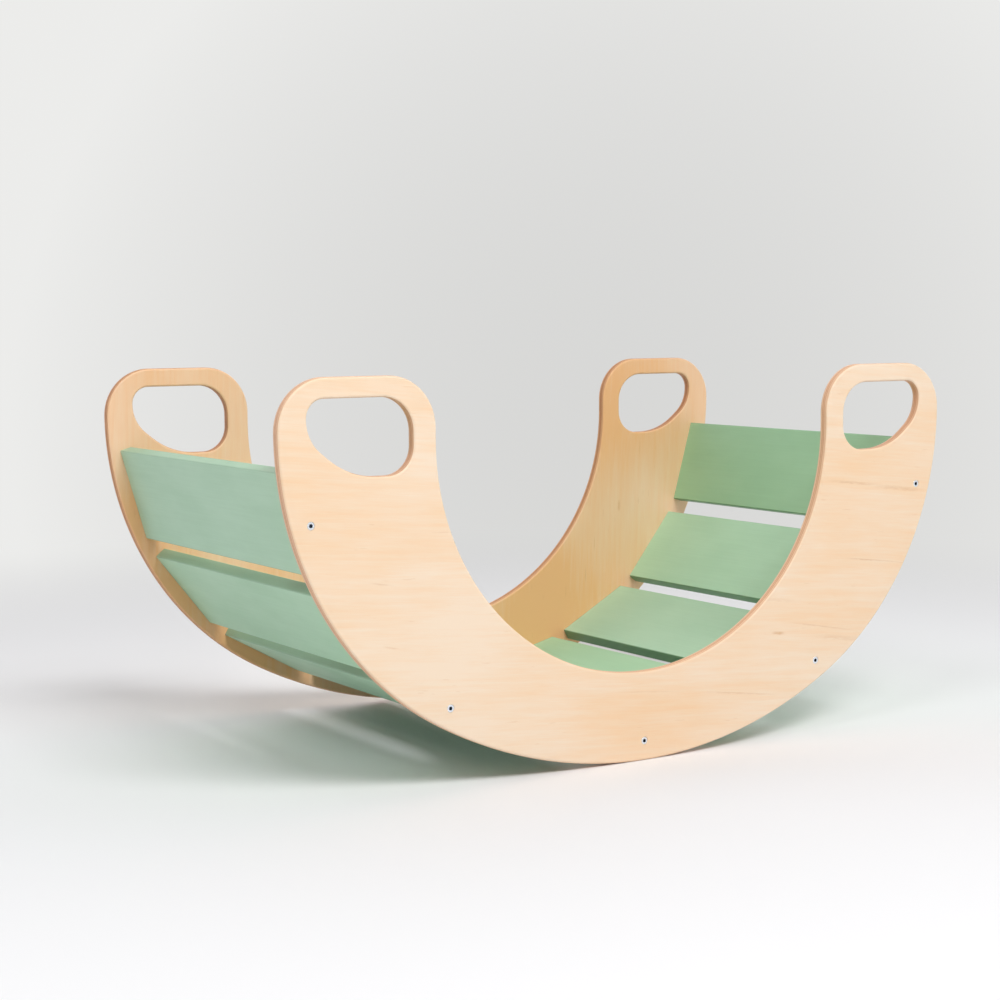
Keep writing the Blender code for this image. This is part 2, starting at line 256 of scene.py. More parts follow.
def holes_cutter():
    head = SCREW_HEAD_RADIUS + HOLE_PLAY
    neck = SCREW_NECK_RADIUS + HOLE_PLAY
    end = SCREW_LENGTH + HOLE_PLAY
    screw_hole = turned_mesh(
        "screw_hole",
        [
            (0, OVERCUT),
            (head, OVERCUT),
            (head, -SCREW_LIP),
            (neck, neck - head - SCREW_LIP),
            (neck, -end),
            (0, -end),
        ],
        ROUND_STEPS,
    )
    radius = DOWEL_RADIUS + HOLE_PLAY
    half = DOWEL_LENGTH / 2 + HOLE_PLAY
    profile = [(0, half), (radius, half), (radius, -half), (0, -half)]
    dowel_hole = turned_mesh("dowel_hole", profile, ROUND_STEPS)
    bm = bmesh.new()
    for node in SCREW_NODES:
        place, side = screw_head_place(node)
        solid = screw_hole.copy()
        solid.transform(stood_at(place, -90 * side))
        bm.from_mesh(solid)
    for node in DOWEL_NODES:
        low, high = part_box(node)
        solid = dowel_hole.copy()
        solid.transform(stood_at((low + high) / 2, 90))
        bm.from_mesh(solid)
    mesh = bpy.data.meshes.new("fastener_holes")
    bm.to_mesh(mesh)
    bm.free()
    return add_piece("fastener_holes", mesh)


def bored_mesh(mesh, holes):
    obj = add_piece("blank", mesh)
    cut = obj.modifiers.new("Bore", "BOOLEAN")
    cut.operation = "DIFFERENCE"
    cut.solver = "EXACT"
    cut.object = holes
    return plain_mesh(obj)


SHEET_SHARP_ANGLE = math.radians(32)
BROAD_FACE_TILT = 0.999


def shade_sheet(mesh):
    """Smooth over the rounded edges, flat on the broad faces and at the rims of the holes."""
    mesh.shade_smooth()
    mesh.set_sharp_from_angle(angle=SHEET_SHARP_ANGLE)
    for face in mesh.polygons:
        face.use_smooth = abs(face.normal.y) < BROAD_FACE_TILT


def add_node(tree, kind, feeds=None, **settings):
    """Adds a node. Feeds give each input, by name or number, a value or another node's output."""
    node = tree.nodes.new(kind)
    for name, value in settings.items():
        setattr(node, name, value)
    for name, value in (feeds or {}).items():
        if isinstance(value, bpy.types.NodeSocket):
            tree.links.new(value, node.inputs[name])
        else:
            node.inputs[name].default_value = value
    return node


def calc(tree, operation, *values, clamp=False):
    feeds = dict(enumerate(values))
    node = add_node(tree, "ShaderNodeMath", feeds, operation=operation, use_clamp=clamp)
    return node.outputs[0]


def axes_of(tree, vector):
    return add_node(tree, "ShaderNodeSeparateXYZ", {0: vector}).outputs


def vector_of(tree, x=0.0, y=0.0, z=0.0):
    return add_node(tree, "ShaderNodeCombineXYZ", {0: x, 1: y, 2: z}).outputs[0]


def noise(tree, place, stretch, detail, roughness=0.5):
    """Noise whose features are 1 / stretch metres long in each direction."""
    vector = add_node(tree, "ShaderNodeMapping", {"Vector": place, "Scale": stretch}).outputs[0]
    feeds = {"Vector": vector, "Scale": 1.0, "Detail": detail, "Roughness": roughness}
    return add_node(tree, "ShaderNodeTexNoise", feeds).outputs["Fac"]


def ramp(tree, value, low, high, to_low=0.0, to_high=1.0):
    feeds = {"Value": value, "From Min": low, "From Max": high, "To Min": to_low, "To Max": to_high}
    return add_node(tree, "ShaderNodeMapRange", feeds, interpolation_type="SMOOTHSTEP").outputs[0]


def blend(tree, factor, first, second, mode="MIX"):
    feeds = {0: factor, 6: first, 7: second}
    return add_node(tree, "ShaderNodeMix", feeds, data_type="RGBA", blend_type=mode).outputs[2]


def tinted(tree, colour, tint):
    return blend(tree, 1.0, colour, tint, "MULTIPLY")


def with_swing(tree, tone, pattern, share):
    """The tone raised and lowered by a share of the pattern's swing about its middle."""
    return calc(tree, "MULTIPLY_ADD", calc(tree, "SUBTRACT", pattern, 0.5), share, tone)


def new_material(name):
    material = bpy.data.materials.new(name)
    material.use_nodes = True
    return material, material.node_tree, material.node_tree.nodes["Principled BSDF"]


FACE_PALE = (0.94, 0.76, 0.58, 1)
FACE_HONEY = (0.92, 0.59, 0.315, 1)
STREAK_BROWN = (0.74, 0.45, 0.23, 1)
PLY_LONG = (0.90, 0.66, 0.47, 1)
PLY_END = (0.72, 0.45, 0.29, 1)
GLUE_LINE = (0.38, 0.20, 0.11, 1)
PLY_SIDE_TONE = (1.08, 1.04, 1.0, 1)
HOLE_EDGE_TONE = (0.82, 0.76, 0.72, 1)
# The inner faces' tint and honey, darker and more orange than the outer ones', are painted shade
# and warm bounce colour.
OUTER_VENEER = (1.0, 1.0, 1.0, 1)
INNER_VENEER_PAINTED_SHADE = (0.975, 0.855, 0.76, 1)
OUTER_HONEY = 0.22
INNER_HONEY_PAINTED_BOUNCE = 0.40
PLIES = 9
# Depths from the face over which the veneer gives way to the cut edge, and the edge to its core
EDGE_STARTS = (0.0006, 0.0013)
CORE_STARTS = (0.0026, 0.0046)
# Each layer of figure: features a metre along x, y and z, detail and roughness; and its share
BROAD_NOISE = ((5, 1, 16), 3, 0.55)
FIGURE_NOISE = ((9, 5, 150), 4, 0.6)
FIBRE_NOISE = ((35, 60, 900), 2, 0.6)
FLECK_NOISE = ((45, 60, 420), 1)
EDGE_NOISE = ((160, 260, 160), 3, 0.65)
STREAK_NOISE = ((90, 500, 1), 3, 0.6)
BROAD_SHARE = 1.1
FIGURE_SHARE = 1.05
FIBRE_SHARE = 0.35
FLECK_LEVELS = (0.73, 0.80)
FLECK_STRENGTH = 0.25
STREAK_RAGGEDNESS = 1.6
STREAK_LEVELS = (0.3, 0.6)
STREAK_FAINTEST = 0.35
END_GRAIN_SHARE = 0.7
EDGE_GRAIN_SHARE = 0.5
GLUE_REACH = (0.10, 0.03)
GLUE_STRENGTH = 0.5
FIBRE_RELIEF = 0.0002
FIBRE_BUMP = 0.2
LACQUER_ROUGHNESS = (0.50, 0.42)


def mineral_streak(tree, flat, start, end, width):
    """A thin dark line in the veneer between two (x, z) places, ragged and fading at both ends."""
    start, end = Vector(start), Vector(end)
    length = (end - start).length
    angle = math.atan2(*(end - start).yx)
    turn = {"Vector": flat, "Location": (*start, 0), "Rotation": (0, 0, angle)}
    local = add_node(tree, "ShaderNodeMapping", turn, vector_type="TEXTURE").outputs[0]
    along, across = axes_of(tree, local)[:2]
    ragged = noise(tree, local, *STREAK_NOISE)
    across = with_swing(tree, across, ragged, STREAK_RAGGEDNESS * width)
    across = calc(tree, "ABSOLUTE", across)
    middle = calc(tree, "ABSOLUTE", calc(tree, "SUBTRACT", along, length / 2))
    ends = ramp(tree, middle, length / 2, length / 10)
    body = calc(tree, "MULTIPLY", ramp(tree, across, width, width / 5), ends)
    strength = ramp(tree, ragged, *STREAK_LEVELS, STREAK_FAINTEST, 1.0)
    return calc(tree, "MULTIPLY", body, strength)


def in_hand_holes(tree, x, z):
    """1 within the bounds of the two hand holes and their rounded edges, 0 outside."""
    from_side = calc(tree, "SUBTRACT", calc(tree, "ABSOLUTE", x), (HOLE_INNER + HOLE_OUTER) / 2)
    from_level = calc(tree, "SUBTRACT", z, (HOLE_FLOOR + HOLE_TOP) / 2)
    reach = (HOLE_OUTER - HOLE_INNER) / 2 + 2 * EDGE_RADIUS
    rise = (HOLE_TOP - HOLE_FLOOR) / 2 + 2 * EDGE_RADIUS
    within_reach = calc(tree, "LESS_THAN", calc(tree, "ABSOLUTE", from_side), reach)
    within_rise = calc(tree, "LESS_THAN", calc(tree, "ABSOLUTE", from_level), rise)
    return calc(tree, "MULTIPLY", within_reach, within_rise)


def soft_patch(tree, flat, centre, radius):
    """A broad area of the veneer about an (x, z) place, fading to nothing at the radius."""
    ends = {0: flat, 1: (*centre, 0)}
    apart = add_node(tree, "ShaderNodeVectorMath", ends, operation="DISTANCE").outputs["Value"]
    return ramp(tree, apart, radius, 0.0)


def birch_plywood(name, middle_y, grain_turn, edge_tone, core_tone, patches, streaks):
    """Lacquered birch plywood: figured face veneers, plies and glue lines on the cut edge.

    The patches and streaks lie in the face that is turned to the front; some patches are painted
    shade and light.
    """
    material, tree, shader = new_material(name)
    place = add_node(tree, "ShaderNodeTexCoord").outputs["Object"]
    x, y, z = axes_of(tree, place)
    outer = calc(tree, "GREATER_THAN", calc(tree, "ABSOLUTE", y), abs(middle_y))
    to_front = calc(tree, "LESS_THAN", y, middle_y)
    flat = vector_of(tree, x, z)
    turn = {"Vector": place, "Location": (0, -middle_y, 0), "Rotation": (0, grain_turn, 0)}
    place = add_node(tree, "ShaderNodeMapping", turn).outputs[0]
    from_middle = calc(tree, "ABSOLUTE", axes_of(tree, place)[1])
    depth = calc(tree, "SUBTRACT", PANEL_THICKNESS / 2, from_middle)

    # Face veneer: broad tone, long soft figure, fine fibres along the grain and a few short flecks
    broad, figure, fibres = (
        noise(tree, place, *settings) for settings in (BROAD_NOISE, FIGURE_NOISE, FIBRE_NOISE)
    )
    # Deeper honey on the inner faces: painted warm bounce colour.
    honey = calc(tree, "MULTIPLY_ADD", outer, OUTER_HONEY - INNER_HONEY_PAINTED_BOUNCE, INNER_HONEY_PAINTED_BOUNCE)
    tone = with_swing(tree, honey, broad, BROAD_SHARE)
    # Patches of deeper or paler honey; on the back panel, those by the left slats are painted
    # shade, bounce colour and light.
    for centre, radius, strength in patches:
        patch = calc(tree, "MULTIPLY", soft_patch(tree, flat, centre, radius), to_front)
        tone = calc(tree, "MULTIPLY_ADD", patch, strength, tone)
    tone = with_swing(tree, tone, figure, FIGURE_SHARE)
    tone = with_swing(tree, tone, fibres, FIBRE_SHARE)
    face = blend(tree, calc(tree, "MULTIPLY", tone, 1.0, clamp=True), FACE_PALE, FACE_HONEY)
    flecks = ramp(tree, noise(tree, place, *FLECK_NOISE), *FLECK_LEVELS, 0.0, FLECK_STRENGTH)
    for start, end, width, strength in streaks:
        streak = calc(tree, "MULTIPLY", mineral_streak(tree, flat, start, end, width), to_front)
        flecks = calc(tree, "MAXIMUM", flecks, calc(tree, "MULTIPLY", streak, strength))
    face = blend(tree, flecks, face, STREAK_BROWN)
    # Inner faces tinted darker and more orange: painted shade and bounce colour.
    face = tinted(tree, face, blend(tree, outer, INNER_VENEER_PAINTED_SHADE, OUTER_VENEER))

    # Cut edge: plies by turns along and across the grain, darker where the saw meets end grain
    ply = PANEL_THICKNESS / PLIES
    layer = calc(tree, "DIVIDE", from_middle, ply)
    across = calc(tree, "PINGPONG", calc(tree, "ROUND", layer), 1.0)
    end_grain = calc(tree, "MULTIPLY", across, END_GRAIN_SHARE)
    end_grain = with_swing(tree, end_grain, noise(tree, place, *EDGE_NOISE), EDGE_GRAIN_SHARE)
    edge = blend(tree, calc(tree, "MULTIPLY", end_grain, 1.0, clamp=True), PLY_LONG, PLY_END)
    to_glue = calc(tree, "PINGPONG", calc(tree, "ADD", layer, 0.5), 0.5)
    edge = blend(tree, ramp(tree, to_glue, *GLUE_REACH, 0.0, GLUE_STRENGTH), edge, GLUE_LINE)
    # The edge and core tones make the back panel's cut edges darker: painted shade.
    core = blend(tree, ramp(tree, depth, *CORE_STARTS), PLY_SIDE_TONE, core_tone)
    edge = tinted(tree, tinted(tree, edge, core), edge_tone)
    # The narrow cutter leaves the edges of the hand holes a shade browner
    edge = blend(tree, in_hand_holes(tree, x, z), edge, tinted(tree, edge, HOLE_EDGE_TONE))
    colour = blend(tree, ramp(tree, depth, *EDGE_STARTS), face, edge)

    tree.links.new(colour, shader.inputs["Base Color"])
    tree.links.new(ramp(tree, figure, 0.3, 0.7, *LACQUER_ROUGHNESS), shader.inputs["Roughness"])
    feeds = {"Height": fibres, "Strength": FIBRE_BUMP, "Distance": FIBRE_RELIEF}
    bump = add_node(tree, "ShaderNodeBump", feeds)
    tree.links.new(bump.outputs[0], shader.inputs["Normal"])
    return material


FRONT_GRAIN_TURN = math.radians(-5.0)
BACK_GRAIN_TURN = math.radians(88.0)
FRONT_EDGE_TONE = (1.03, 0.99, 0.95, 1)
FRONT_CORE_TONE = (0.95, 0.78, 0.68, 1)
# The back panel's cut edges are darker and browner than the front's: painted shade.
BACK_EDGE_TONE_PAINTED_SHADE = (0.88, 0.69, 0.51, 1)
BACK_CORE_TONE_PAINTED_SHADE = (0.78, 0.58, 0.38, 1)
FRONT_PATCHES = (
    ((0.38, 0.24), 0.26, 0.20),
    ((0.00, 0.05), 0.15, 0.34),
    ((-0.43, 0.32), 0.16, 0.26),
    ((-0.26, 0.14), 0.14, -0.18),
)
# The patches at negative x, under and beside the left slats, with deeper honey are painted shade
# and warm bounce colour; the paler one at (-0.31, 0.205) is painted light through a gap between
# those slats.
BACK_PATCHES_WITH_PAINTED_SHADE = (
    ((0.285, 0.385), 0.17, 0.70),
    ((0.17, 0.10), 0.15, 0.95),
    ((0.36, 0.25), 0.09, -0.25),
    ((-0.30, 0.10), 0.24, 0.45),
    ((-0.44, 0.25), 0.09, 0.75),
    ((-0.385, 0.165), 0.06, 0.45),
    ((-0.29, 0.075), 0.07, 0.55),
    ((-0.31, 0.205), 0.07, -0.45),
)
FRONT_STREAKS = (
    ((0.262, 0.303), (0.362, 0.292), 0.0024, 0.50),
    ((0.335, 0.293), (0.440, 0.281), 0.0034, 0.45),
    ((0.295, 0.208), (0.375, 0.198), 0.0012, 0.60),
    ((0.330, 0.205), (0.420, 0.191), 0.0009, 0.35),
    ((0.205, 0.139), (0.325, 0.117), 0.0013, 0.45),
    ((0.075, 0.070), (0.205, 0.052), 0.0014, 0.45),
    ((-0.050, 0.083), (0.060, 0.072), 0.0009, 0.30),
    ((0.183, 0.128), (0.208, 0.125), 0.0026, 0.75),
    ((0.240, 0.120), (0.345, 0.104), 0.0040, 0.30),
    ((0.150, 0.172), (0.235, 0.160), 0.0030, 0.22),
    ((-0.352, 0.229), (-0.318, 0.223), 0.0012, 0.40),
    ((-0.337, 0.162), (-0.313, 0.157), 0.0012, 0.35),
)
BACK_STREAKS = (
    ((0.295, 0.246), (0.2945, 0.226), 0.0030, 0.55),
    ((0.253, 0.198), (0.252, 0.172), 0.0009, 0.50),
    ((0.238, 0.158), (0.237, 0.128), 0.0010, 0.50),
    ((0.331, 0.330), (0.330, 0.300), 0.0009, 0.35),
    ((0.205, 0.135), (0.204, 0.110), 0.0009, 0.35),
)
FRONT_WOOD = (FRONT_GRAIN_TURN, FRONT_EDGE_TONE, FRONT_CORE_TONE, FRONT_PATCHES, FRONT_STREAKS)
BACK_WOOD = (BACK_GRAIN_TURN, BACK_EDGE_TONE_PAINTED_SHADE, BACK_CORE_TONE_PAINTED_SHADE, BACK_PATCHES_WITH_PAINTED_SHADE, BACK_STREAKS)

holes = holes_cutter()
for node, low, high, wood in (
    ("front_side_panel", front_low, front_high, FRONT_WOOD),
    ("back_side_panel", back_low, back_high, BACK_WOOD),
):
    middle_y = (low.y + high.y) / 2
    sheet = bored_mesh(panel_mesh(middle_y), holes)
    shade_sheet(sheet)
    sheet.materials.clear()
    sheet.materials.append(birch_plywood("birch_" + node, middle_y, *wood))
    panel = add_piece("shown_" + node, sheet)
    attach(panel, "root")
    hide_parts(node)

# Slats: nine solid boards, 15 mm thick, planed, their long edges eased, painted sage green. They
# lie side by side on one curve inside the rocker's edge, and butt against the panels' inner faces.
SLAT_NODES = sorted(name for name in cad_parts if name.startswith("slat_"))
middle_low, middle_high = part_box(SLAT_NODES[len(SLAT_NODES) // 2])
SLAT_WIDTH = middle_high.x - middle_low.x
SLAT_LENGTH = middle_high.y - middle_low.y
SLAT_THICKNESS = middle_high.z - middle_low.z
SLAT_INSET = (middle_low.z + middle_high.z) / 2
SLAT_GAP = 0.021
SLAT_EDGE_RADIUS = 0.0015
SLAT_EDGE_STEPS = 4
LINE_STEP = 0.25
SMALL_FACE_AREA = 0.002


def slat_line():
    """Curve through the middles of all the slats, from the first to the last."""
    bottom, side = rocker_centres()
    half_run = (SLAT_WIDTH + SLAT_GAP) * (len(SLAT_NODES) - 1) / 2
    bottom_run = (ROCKER_RADIUS - SLAT_INSET) * math.radians(ROCKER_HALF_ANGLE)
    last = ROCKER_HALF_ANGLE + math.degrees((half_run - bottom_run) / (SIDE_RADIUS - SLAT_INSET))
    half = arc(bottom, ROCKER_RADIUS - SLAT_INSET, 0.0, ROCKER_HALF_ANGLE, LINE_STEP)
    half += arc(side, SIDE_RADIUS - SLAT_INSET, ROCKER_HALF_ANGLE, last, LINE_STEP)[1:]
    points = [Vector((-p.x, p.y)) for p in reversed(half[1:])] + half
    curve = bpy.data.curves.new("slat_line", "CURVE")
    curve.dimensions = "3D"
    spline = curve.splines.new("POLY")
    spline.points.add(len(points) - 1)
    for point, place in zip(spline.points, points):
        point.co = (place.x, 0.0, place.y, 1.0)
    return curve


def new_tree(name, sizes):
    """A geometry tree that takes a geometry and one input for each named size."""
    tree = bpy.data.node_groups.new(name, "GeometryNodeTree")
    tree.interface.new_socket("Geometry", in_out="INPUT", socket_type="NodeSocketGeometry")
    tree.interface.new_socket("Geometry", in_out="OUTPUT", socket_type="NodeSocketGeometry")
    for size, value in sizes.items():
        kind = "NodeSocketInt" if isinstance(value, int) else "NodeSocketFloat"
        tree.interface.new_socket(size, in_out="INPUT", socket_type=kind)
    return tree, tree.nodes.new("NodeGroupInput"), tree.nodes.new("NodeGroupOutput")


def made_by(tree, obj, sizes):
    """Runs the tree on the object with these sizes, and gives the plain mesh that it makes."""
    modifier = obj.modifiers.new(tree.name, "NODES")
    modifier.node_group = tree
    for item in tree.interface.items_tree:
        if item.in_out == "INPUT" and item.name in sizes:
            modifier[item.identifier] = sizes[item.name]
    depsgraph = bpy.context.evaluated_depsgraph_get()
    mesh = bpy.data.meshes.new_from_object(obj.evaluated_get(depsgraph))
    bpy.data.objects.remove(obj, do_unlink=True)
    return mesh


def slats_tree(sizes, material):
    """Boards swept from a rounded section, one at each of the equal steps along the line."""
    tree, given, made = new_tree("Slats along a line", sizes)
    section = add_node(
        tree,
        "GeometryNodeCurvePrimitiveQuadrilateral",
        {"Width": given.outputs["Board width"], "Height": given.outputs["Board thickness"]},
    )
    section = add_node(
        tree,
        "GeometryNodeFilletCurve",
        {
            "Curve": section.outputs[0],
            "Radius": given.outputs["Edge radius"],
            "Count": given.outputs["Edge steps"],
        },
        mode="POLY",
    )
    half = calc(tree, "MULTIPLY", given.outputs["Board length"], 0.5)
    back = vector_of(tree, y=half)
    front = vector_of(tree, y=calc(tree, "MULTIPLY", half, -1.0))
    length = add_node(tree, "GeometryNodeCurvePrimitiveLine", {"Start": front, "End": back})
    board = add_node(
        tree,
        "GeometryNodeCurveToMesh",
        {"Curve": length.outputs[0], "Profile Curve": section.outputs[0], "Fill Caps": True},
    )
    area = add_node(tree, "GeometryNodeInputMeshFaceArea").outputs[0]
    small = calc(tree, "LESS_THAN", area, SMALL_FACE_AREA)
    board = add_node(
        tree,
        "GeometryNodeSetShadeSmooth",
        {"Geometry": board.outputs[0], "Shade Smooth": small},
    )
    position = add_node(tree, "GeometryNodeInputPosition").outputs[0]
    board = add_node(
        tree,
        "GeometryNodeStoreNamedAttribute",
        {"Geometry": board.outputs[0], "Name": "board_place", "Value": position},
        data_type="FLOAT_VECTOR",
        domain="POINT",
    )
    number = add_node(tree, "GeometryNodeInputIndex").outputs[0]
    last = calc(tree, "SUBTRACT", given.outputs["Boards"], 1.0)
    step = add_node(
        tree,
        "GeometryNodeSampleCurve",
        {"Curves": given.outputs["Geometry"], "Factor": calc(tree, "DIVIDE", number, last)},
        mode="FACTOR",
        use_all_curves=True,
    )
    middles = add_node(
        tree,
        "GeometryNodePoints",
        {"Count": given.outputs["Boards"], "Position": step.outputs["Position"]},
    )
    lie = add_node(
        tree,
        "FunctionNodeAlignRotationToVector",
        {"Vector": step.outputs["Tangent"]},
        axis="X",
        pivot_axis="Y",
    )
    row = add_node(
        tree,
        "GeometryNodeInstanceOnPoints",
        {"Points": middles.outputs[0], "Instance": board.outputs[0], "Rotation": lie.outputs[0]},
    )
    row = add_node(
        tree,
        "GeometryNodeStoreNamedAttribute",
        {"Geometry": row.outputs[0], "Name": "board_number", "Value": number},
        data_type="FLOAT",
        domain="INSTANCE",
    )
    # A value for each board from the seed; the paint turns it into that board's painted light.
    tone = add_node(
        tree,
        "FunctionNodeRandomValue",
        {"ID": number, "Seed": given.outputs["Painted light seed"]},
        data_type="FLOAT",
    )
    row = add_node(
        tree,
        "GeometryNodeStoreNamedAttribute",
        {"Geometry": row.outputs[0], "Name": "board_tone", "Value": tone.outputs["Value"]},
        data_type="FLOAT",
        domain="INSTANCE",
    )
    row = add_node(tree, "GeometryNodeRealizeInstances", {"Geometry": row.outputs[0]})
    painted = {"Geometry": row.outputs[0], "Material": material}
    row = add_node(tree, "GeometryNodeSetMaterial", painted)
    tree.links.new(row.outputs[0], made.inputs[0])
    return tree


PAINT = (0.465, 0.680, 0.482, 1)
PAINT_DEEP = (0.425, 0.636, 0.442, 1)
# Painted shade: the long edges of each board are darker, and the lower ones, facing the shadow
# under the rocker, much darker.
PAINTED_SHADE_ON_UPPER_EDGE = (0.82, 0.84, 0.82, 1)
PAINTED_SHADE_ON_LOWER_EDGE = (0.38, 0.48, 0.38, 1)
# Each board's brightness and hue come from a seed picked to paint the light on it: brighter where
# more light strikes, bluer on the boards lit from the left.
DULLEST_BOARD = 0.92
BRIGHTEST_BOARD = 1.10
BLUEST_BOARD = (1.06, 1.03, 1.12, 1)
GREENEST_BOARD = (0.87, 1.0, 0.88, 1)
HUE_SPREAD = 121.45
PAINTED_LIGHT_SEED = 2187
CLOUD_NOISE = ((22, 9, 22), 3, 0.55)
RAISED_FIBRE_NOISE = ((420, 9, 420), 3, 0.6)
STIPPLE_NOISE = ((900, 900, 900), 2)
CLOUD_SHARE = 0.6
STIPPLE_SHARE = 0.4
PAINT_RELIEF = 0.0002
PAINT_BUMP = 0.3
PAINT_ROUGHNESS = (0.52, 0.42)


def green_paint():
    """Satin paint rolled on planed wood: soft clouds, the wood's fibres faintly raised.

    The long edges are darkened, most of all the lower ones: painted shade.
    """
    material, tree, shader = new_material("sage_green_paint")
    place = add_node(tree, "ShaderNodeAttribute", attribute_name="board_place").outputs["Vector"]
    number = add_node(tree, "ShaderNodeAttribute", attribute_name="board_number").outputs["Fac"]
    board = add_node(tree, "ShaderNodeAttribute", attribute_name="board_tone").outputs["Fac"]
    x = axes_of(tree, place)[0]
    # Which long edge of each board is the lower one, for the deeper painted shade.
    from_middle_board = calc(tree, "SUBTRACT", number, (len(SLAT_NODES) - 1) / 2)
    lower = calc(tree, "LESS_THAN", calc(tree, "MULTIPLY", from_middle_board, x), 0.0)
    apart = vector_of(tree, number, number)
    place = add_node(tree, "ShaderNodeVectorMath", {0: place, 1: apart}, operation="ADD").outputs[0]
    clouds, fibres, stipple = (
        noise(tree, place, *settings)
        for settings in (CLOUD_NOISE, RAISED_FIBRE_NOISE, STIPPLE_NOISE)
    )
    tone = calc(tree, "MULTIPLY", clouds, CLOUD_SHARE)
    tone = calc(tree, "MULTIPLY_ADD", fibres, 1 - CLOUD_SHARE, tone)
    colour = blend(tree, ramp(tree, tone, 0.3, 0.7), PAINT_DEEP, PAINT)
    # Each board's hue and brightness: painted light.
    hue = calc(tree, "FRACT", calc(tree, "MULTIPLY", board, HUE_SPREAD))
    hue = blend(tree, hue, BLUEST_BOARD, GREENEST_BOARD)
    board = calc(tree, "MULTIPLY_ADD", board, BRIGHTEST_BOARD - DULLEST_BOARD, DULLEST_BOARD)
    board = vector_of(tree, board, board, board)
    colour = tinted(tree, colour, tinted(tree, board, hue))
    # Painted shade on the long edges, deepest on the lower ones.
    half = SLAT_WIDTH / 2
    across = calc(tree, "ABSOLUTE", x)
    on_edge = ramp(tree, across, half - SLAT_EDGE_RADIUS, half - SLAT_EDGE_RADIUS / 4)
    edge_tone = blend(tree, lower, PAINTED_SHADE_ON_UPPER_EDGE, PAINTED_SHADE_ON_LOWER_EDGE)
    colour = blend(tree, on_edge, colour, tinted(tree, colour, edge_tone))
    tree.links.new(colour, shader.inputs["Base Color"])
    tree.links.new(ramp(tree, clouds, 0.25, 0.75, *PAINT_ROUGHNESS), shader.inputs["Roughness"])
    height = calc(tree, "MULTIPLY", stipple, STIPPLE_SHARE)
    height = calc(tree, "MULTIPLY_ADD", fibres, 1 - STIPPLE_SHARE, height)
    feeds = {"Height": height, "Strength": PAINT_BUMP, "Distance": PAINT_RELIEF}
    bump = add_node(tree, "ShaderNodeBump", feeds)
    tree.links.new(bump.outputs[0], shader.inputs["Normal"])
    return material


slat_sizes = {
    "Board width": SLAT_WIDTH,
    "Board length": SLAT_LENGTH,
    "Board thickness": SLAT_THICKNESS,
    "Edge radius": SLAT_EDGE_RADIUS,
    "Edge steps": SLAT_EDGE_STEPS,
    "Boards": len(SLAT_NODES),
    "Painted light seed": PAINTED_LIGHT_SEED,
}
paint = green_paint()
row = made_by(slats_tree(slat_sizes, paint), add_piece("slat_line", slat_line()), slat_sizes)
slats = add_piece("shown_slats", bored_mesh(row, holes))
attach(slats, "root")
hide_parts(*SLAT_NODES)

# Screws: zinc plated, countersunk, with a hexagon socket, one through each panel into the end of
# every second slat. Each head sits a hair below the panel's face, its socket turned at random.
SOCKET_WIDTH = 0.004
SOCKET_DEPTH = 0.0024
HEAD_EDGE = 0.0003
POINT_LENGTH = 0.003
POINT_RADIUS = 0.00125
SOCKET_SIDES = 6
SOCKET_SEED = 4
SCREW_SHARP_ANGLE = math.radians(30)
ZINC_DULL = (0.80, 0.86, 0.94, 1)
ZINC_BRIGHT = (0.92, 0.95, 1.0, 1)
ZINC_NOISE = ((900, 900, 900), 3)
ZINC_ROUGHNESS = (0.20, 0.34)
SOCKET_PAINTED_SHADE = (0.02, 0.03, 0.05, 1)
# Depths below the panel's face over which the painted shade of the socket comes in and ends
SOCKET_STARTS = (0.0004, 0.0010)
SOCKET_ENDS = (0.0040, 0.0034)


def screw_mesh(material):
    """One screw with its head's top at height 0, pointing down."""
    neck_top = -SCREW_LIP - (SCREW_HEAD_RADIUS - SCREW_NECK_RADIUS)
    blank = turned_mesh(
        "screw_blank",
        [
            (0, 0),
            (SCREW_HEAD_RADIUS - HEAD_EDGE, 0),
            (SCREW_HEAD_RADIUS, -HEAD_EDGE),
            (SCREW_HEAD_RADIUS, -SCREW_LIP),
            (SCREW_NECK_RADIUS, neck_top),
            (SCREW_NECK_RADIUS, -SCREW_NECK_LENGTH),
            (SCREW_THREAD_RADIUS, -SCREW_NECK_LENGTH),
            (SCREW_THREAD_RADIUS, POINT_LENGTH - SCREW_LENGTH),
            (POINT_RADIUS, -SCREW_LENGTH),
            (0, -SCREW_LENGTH),
        ],
        ROUND_STEPS,
    )
    corner = SOCKET_WIDTH / math.sqrt(3)
    socket = turned_mesh(
        "socket",
        [(0, OVERCUT), (corner, OVERCUT), (corner, -SOCKET_DEPTH), (0, -SOCKET_DEPTH - corner / 2)],
        SOCKET_SIDES,
    )
    cutter = add_piece("socket", socket)
    mesh = bored_mesh(blank, cutter)
    bpy.data.objects.remove(cutter, do_unlink=True)
    mesh.shade_smooth()
    mesh.set_sharp_from_angle(angle=SCREW_SHARP_ANGLE)
    mesh.materials.append(material)
    return mesh


